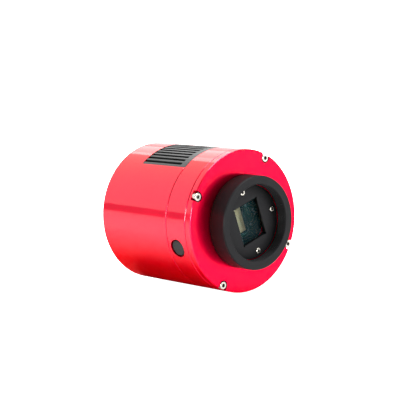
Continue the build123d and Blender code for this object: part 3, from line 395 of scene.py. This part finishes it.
def round_normals():
    """Node group that gives walls turned about the optical axis the shading of a true cylinder.

    A wall's facets keep their places, and only the normals that light is worked out with change.
    """
    group = bpy.data.node_groups.new("round normals", "GeometryNodeTree")
    group.interface.new_socket("Geometry", in_out="INPUT", socket_type="NodeSocketGeometry")
    group.interface.new_socket("Geometry", in_out="OUTPUT", socket_type="NodeSocketGeometry")

    def add(kind, settings=None, links=()):
        node = group.nodes.new(kind)
        for key, value in (settings or {}).items():
            setattr(node, key, value)
        for index, value in links:
            if isinstance(value, bpy.types.NodeSocket):
                group.links.new(value, node.inputs[index])
            else:
                node.inputs[index].default_value = value
        return node

    def vector(operation, *values):
        return add("ShaderNodeVectorMath", {"operation": operation}, enumerate(values))

    shape = add("NodeGroupInput").outputs[0]
    normal = add("GeometryNodeInputNormal").outputs[0]
    per_face = {"domain": "FACE", "data_type": "FLOAT_VECTOR"}
    facet = add("GeometryNodeFieldOnDomain", per_face, [(0, normal)])
    place = add("GeometryNodeInputPosition").outputs[0]
    radial = vector("NORMALIZE", vector("MULTIPLY", place, (1.0, 0.0, 1.0)).outputs[0]).outputs[0]
    lean = vector("DOT_PRODUCT", facet.outputs[0], radial).outputs["Value"]
    size = add("ShaderNodeMath", {"operation": "ABSOLUTE"}, [(0, lean)]).outputs[0]
    limit = cos(WALL_LEAN)
    turned = add("FunctionNodeCompare", {"operation": "GREATER_THAN"}, [(0, size), (1, limit)])
    side = add("ShaderNodeMath", {"operation": "SIGN"}, [(0, lean)]).outputs[0]
    scaled = add("ShaderNodeVectorMath", {"operation": "SCALE"}, [(0, radial), (3, side)])
    choice = add("GeometryNodeSwitch", {"input_type": "VECTOR"})
    group.links.new(turned.outputs[0], choice.inputs[0])
    group.links.new(normal, choice.inputs[1])
    group.links.new(scaled.outputs[0], choice.inputs[2])
    shaded = add("GeometryNodeSetMeshNormal", {"mode": "FREE", "domain": "CORNER"}, [(0, shape)])
    group.links.new(choice.outputs[0], shaded.inputs["Custom Normal"])
    group.links.new(shaded.outputs[0], add("NodeGroupOutput").inputs[0])
    return group


for node, width in {
    "front_plate": 0.12 * MM,
    "heat_sink": 0.12 * MM,
    "rear_shell": 0.12 * MM,
    "window_clamp": 0.08 * MM,
    "rear_cover": 0.12 * MM,
    "fan_guard": 0.2 * MM,
}.items():
    soften(node, width)


# ---------------------------------------------------------------- threaded nose ring
# all in mm, as on the CAD's plain ring that this one stands for
THREAD_PITCH = 0.75
THREAD_DEPTH = 0.4
THREAD_CREST_R = 20.6
THREAD_LENGTH = 6.2
THREAD_ROWS_PER_TURN = 16
RING_STEPS = 288
REAR_BORE_R = 21.0
RING_R = 25.4
RING_LENGTH = 10.95
FRONT_CHAMFER = 0.5
REAR_CHAMFER = 0.2
RING_SHARP_EDGE = radians(25.0)


def nose_ring_profile():
    """Circles of the nose ring, from the thread's rear end over the outside to the bore's front.

    Each is a radius, a y, and how much of the thread's depth is cut there.
    """
    circles = [
        (REAR_BORE_R, THREAD_LENGTH, 0.0),
        (REAR_BORE_R, RING_LENGTH, 0.0),
        (RING_R - REAR_CHAMFER, RING_LENGTH, 0.0),
        (RING_R, RING_LENGTH - REAR_CHAMFER, 0.0),
        (RING_R, FRONT_CHAMFER, 0.0),
        (RING_R - FRONT_CHAMFER, 0.0, 0.0),
        (THREAD_CREST_R + THREAD_PITCH / 2, 0.0, 0.0),
    ]
    rows = int(THREAD_LENGTH / THREAD_PITCH * THREAD_ROWS_PER_TURN)
    for row in range(rows + 1):
        y = THREAD_LENGTH * row / rows
        lead_in = max(0.0, THREAD_PITCH / 2 - y)
        cut = min(1.0, y / THREAD_PITCH, (THREAD_LENGTH - y) / THREAD_PITCH)
        circles.append((THREAD_CREST_R + lead_in, y, max(0.0, cut)))
    return circles


def groove_depth(turns):
    """How deep the thread is after this many turns, from 0 on its flat crest to 1 on its root."""
    wave = 1.0 - abs(2.0 * (turns % 1.0) - 1.0)
    return min(1.0, max(0.0, 1.25 * wave - 0.125))


def make_nose_ring():
    """The nose ring again, with its bore cut by a real helical thread."""
    shape = bmesh.new()
    grid = []
    for radius, y, cut in nose_ring_profile():
        circle = []
        for step in range(RING_STEPS):
            angle = 2 * pi * step / RING_STEPS
            turns = y / THREAD_PITCH - step / RING_STEPS
            r = radius + cut * THREAD_DEPTH * groove_depth(turns)
            circle.append(shape.verts.new((r * sin(angle) * MM, y * MM, r * cos(angle) * MM)))
        grid.append(circle)
    for first, second in zip(grid, grid[1:] + grid[:1]):
        for step in range(RING_STEPS):
            after = (step + 1) % RING_STEPS
            shape.faces.new((first[step], second[step], second[after], first[after]))
    bmesh.ops.recalc_face_normals(shape, faces=shape.faces)
    mesh = bpy.data.meshes.new("threaded_nose_ring")
    shape.to_mesh(mesh)
    shape.free()
    mesh.materials.append(MATERIALS["black_anodised"])
    mesh.polygons.foreach_set("use_smooth", [True] * len(mesh.polygons))
    mesh.set_sharp_from_angle(angle=RING_SHARP_EDGE)
    ring = bpy.data.objects.new("threaded_nose_ring", mesh)
    bpy.context.scene.collection.objects.link(ring)
    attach(ring, "nose_ring")
    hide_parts("nose_ring")


make_nose_ring()

# ---------------------------------------------------------------- round walls
ROUND = round_normals()
for entry in frame["record"]["subparts"]:
    nodes[entry["node"]].modifiers.new("round normals", "NODES").node_group = ROUND


# ---------------------------------------------------------------- studio
RIG = Matrix.Rotation(ROLL, 4, "Y")
CENTRE = RIG @ Vector((0.0, 40.0, 0.0)) * MM
FLOOR_HALF = 6.0
FLOOR_GAP = 0.1 * MM


def towards(azimuth, elevation):
    """Unit vector to a place seen from the object: azimuth 0 is in front (-Y), 90 to its right."""
    a, e = radians(azimuth), radians(elevation)
    return RIG @ Vector((sin(a) * cos(e), -cos(a) * cos(e), sin(e)))


def softbox(name, azimuth, elevation, distance, width, height, radiance, lights="reflections"):
    """A diffused lamp box that faces the object. Its power follows from how bright it looks.

    lights says what it serves: matt surfaces, reflections, or both.
    """
    light = bpy.data.lights.new(name, "AREA")
    light.shape = "RECTANGLE"
    light.size = width
    light.size_y = height
    light.energy = radiance * pi * width * height
    box = bpy.data.objects.new(name, light)
    bpy.context.scene.collection.objects.link(box)
    direction = towards(azimuth, elevation)
    box.location = CENTRE + direction * distance
    box.rotation_euler = rig_turn(direction)
    box.visible_camera = False
    box.visible_diffuse = lights in ("matt", "both")
    box.visible_glossy = lights in ("reflections", "both")


def rig_turn(direction):
    """Turns a card to face the object, with its lower edge level in the rig."""
    up = RIG @ Vector((0, 0, 1))
    right = up.cross(direction).normalized()
    return Matrix((right, direction.cross(right), direction)).transposed().to_euler()


def make_floor(name, paper, turn, seen_by_camera, **light):
    """A wide flat sheet just under the body. It is the camera's floor or the reflections' table."""
    mesh = bpy.data.meshes.new(name)
    level = cad_low.z - FLOOR_GAP
    corners = [(-1, -1), (1, -1), (1, 1), (-1, 1)]
    places = [turn @ Vector((x * FLOOR_HALF, y * FLOOR_HALF, level)) for x, y in corners]
    mesh.from_pydata(places, [], [(0, 1, 2, 3)])
    floor = bpy.data.objects.new(name, mesh)
    bpy.context.scene.collection.objects.link(floor)
    graph = Graph(name)
    fibre = graph.noise(graph.coordinates(), 400.0, 3.0)
    colour = graph.blend(fibre, tint(paper, 0.98), paper)
    matt = {"Roughness": 0.9, "Specular_IOR_Level": 0.1}
    mesh.materials.append(graph.shade(Base_Color=colour, **matt, **light))
    floor.visible_camera = seen_by_camera
    floor.visible_diffuse = not seen_by_camera
    floor.visible_glossy = not seen_by_camera
    floor.visible_shadow = False


def make_world(backdrop, room):
    """A white backdrop for the camera, in a room that is darker everywhere else."""
    world = bpy.data.worlds.new("studio")
    bpy.context.scene.world = world
    world.use_nodes = True
    tree = world.node_tree
    path = tree.nodes.new("ShaderNodeLightPath")
    level = tree.nodes.new("ShaderNodeMapRange")
    level.inputs["To Min"].default_value = room
    level.inputs["To Max"].default_value = backdrop
    tree.links.new(path.outputs["Is Camera Ray"], level.inputs["Value"])
    background = tree.nodes["Background"]
    background.inputs["Color"].default_value = (*WHITE, 1.0)
    tree.links.new(level.outputs["Result"], background.inputs["Strength"])


def make_camera():
    """The camera stands to the object's front left and a little above it, level with the table."""
    azimuth, elevation = -41.784, 6.272
    back = towards(azimuth, elevation)
    up = RIG @ Vector((0, 0, 1))
    right = up.cross(back).normalized()
    up = back.cross(right)
    lens = bpy.data.cameras.new("camera")
    lens.lens = 116.72
    lens.sensor_width = 36.0
    lens.clip_start = 0.01
    lens.clip_end = 20.0
    camera = bpy.data.objects.new("camera", lens)
    bpy.context.scene.collection.objects.link(camera)
    turn = Matrix((right, up, back)).transposed().to_4x4()
    place = RIG @ (Vector((-496.45, -514.95, 86.63)) * MM)
    camera.matrix_world = Matrix.Translation(place) @ turn
    bpy.context.scene.camera = camera


make_world(1.02, 0.35)
glow = {"Emission_Color": (*WHITE, 1.0), "Emission_Strength": 1.0}
make_floor("floor", WHITE, Matrix(), True, **glow)
make_floor("table", (0.76, 0.76, 0.76), RIG, False)
softbox("back left box", -160.0, 29.0, 3.0, 4.1, 2.42, 1.05)
softbox("back right box", 137.0, 37.0, 3.0, 2.3, 1.6, 2.3)
softbox("low back right box", 137.0, 12.0, 3.0, 2.3, 1.0, 1.1)
softbox("left box", -88.0, 18.0, 3.0, 1.2, 2.0, 2.5)
softbox("edge box", -48.0, 2.0, 3.0, 0.5, 1.2, 22.0)
softbox("front box", 36.0, 26.0, 3.0, 1.8, 1.8, 17.0, lights="matt")
softbox("top box", 30.0, 84.0, 12.0, 10.0, 10.0, 7.5, lights="both")
make_camera()
bpy.context.scene.view_settings.view_transform = "Standard"
